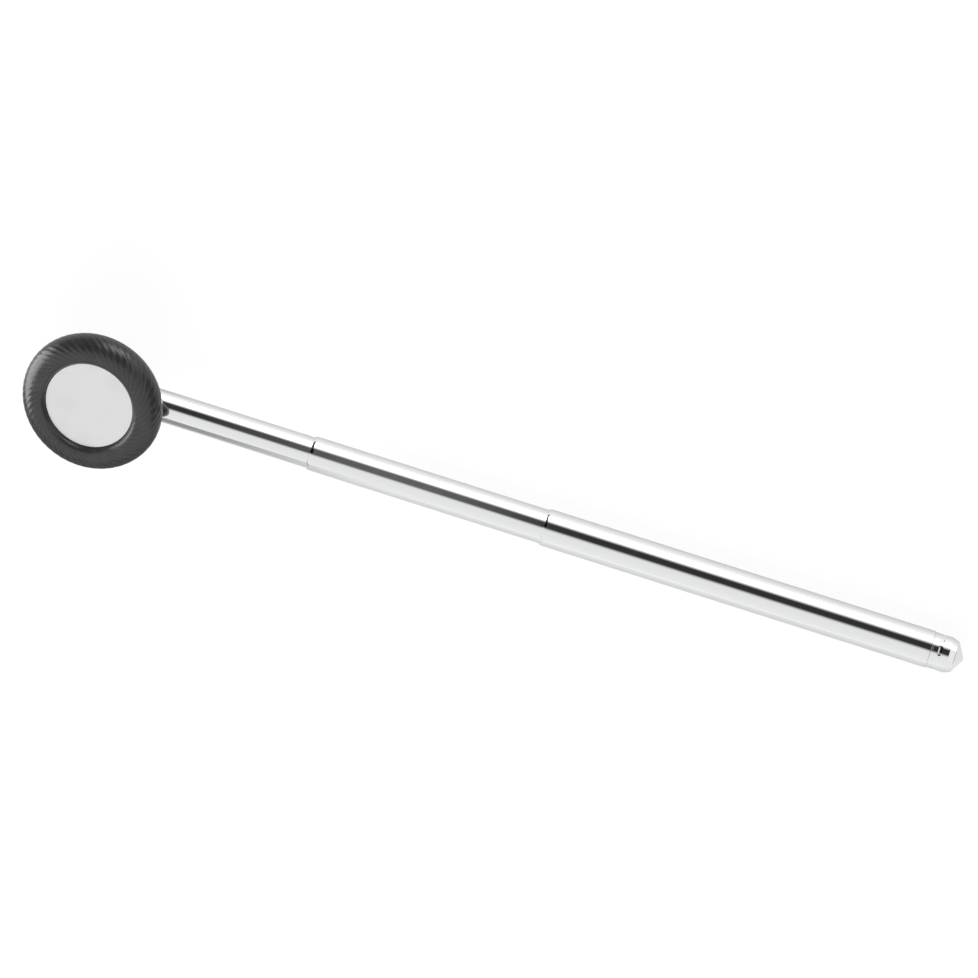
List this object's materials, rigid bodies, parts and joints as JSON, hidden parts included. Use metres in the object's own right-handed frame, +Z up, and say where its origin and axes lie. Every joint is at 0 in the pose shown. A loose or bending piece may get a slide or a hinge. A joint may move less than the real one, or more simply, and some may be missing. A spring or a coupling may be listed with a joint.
{
  "type": "magnetic pickup tool",
  "caption": "Pocket pickup tool: a round magnet in a ribbed rubber ring tilts on a hinge at the tip of a telescoping bright-plated tube with a blunt pointed end.",
  "frame": {"origin": "on the axis of the tubes, halfway along the outer tube", "axes": "+X along the tubes from the magnet head to the end cap, +Z up as the tool lies on a table on its outer tube and the back edge of the head's ring, +Y completes the right-handed set"},
  "size_m": [0.2567, 0.0336, 0.0251],
  "materials": {
    "tube_plate": "bright polished plating, faint lengthwise handling marks",
    "face_metal": "satin bright disc with a bevelled edge",
    "ring_rubber": "black moulded rubber with fine slanted ribs, semi-matt",
    "zinc_steel": "zinc-plated pressed steel",
    "plug_metal": "nickel-plated turned plug",
    "magnet": "nickel-coated sintered magnet",
    "brass": "turned brass",
    "spring_metal": "rolled spring bronze"
  },
  "bodies": {
    "handle": {"outer_tube": "tube_plate", "cap_plug": "brass", "end_cap": "tube_plate"},
    "middle_grip": {"middle_spring": "spring_metal"},
    "middle_section": {"middle_tube": "tube_plate", "middle_tail_bush": "brass"},
    "inner_grip": {"inner_spring": "spring_metal"},
    "inner_section": {"inner_tube": "tube_plate", "inner_tail_bush": "brass", "tip_plug": "plug_metal"},
    "head": {"guard_ring": "ring_rubber", "face_plate": "face_metal", "magnet": "magnet", "spacer_ring": "brass", "magnet_cup": "zinc_steel", "yoke": "zinc_steel", "yoke_rivet": "zinc_steel", "pivot_rivet": "zinc_steel", "pivot_washer": "brass", "pivot_spring_washer": "spring_metal"}
  },
  "joints": [
    {"name": "middle_slide", "type": "slide", "parent": "handle", "child": "middle_grip", "axis": [-1, 0, 0], "range_m": [-0.0625, 0.0262]},
    {"name": "middle_turn", "type": "hinge", "parent": "middle_grip", "child": "middle_section", "pos_m": [-0.0195, 0, 0], "axis": [-1, 0, 0], "continuous": true},
    {"name": "inner_slide", "type": "slide", "parent": "middle_section", "child": "inner_grip", "axis": [-1, 0, 0], "range_m": [-0.0485, 0.0292]},
    {"name": "inner_turn", "type": "hinge", "parent": "inner_grip", "child": "inner_section", "pos_m": [-0.0805, 0, 0], "axis": [-1, 0, 0], "continuous": true},
    {"name": "head_tilt", "type": "hinge", "parent": "inner_section", "child": "head", "pos_m": [-0.175, 0, 0], "axis": [0, -0.8367, -0.5476], "range_deg": [-4.5, 175.5]}
  ]
}
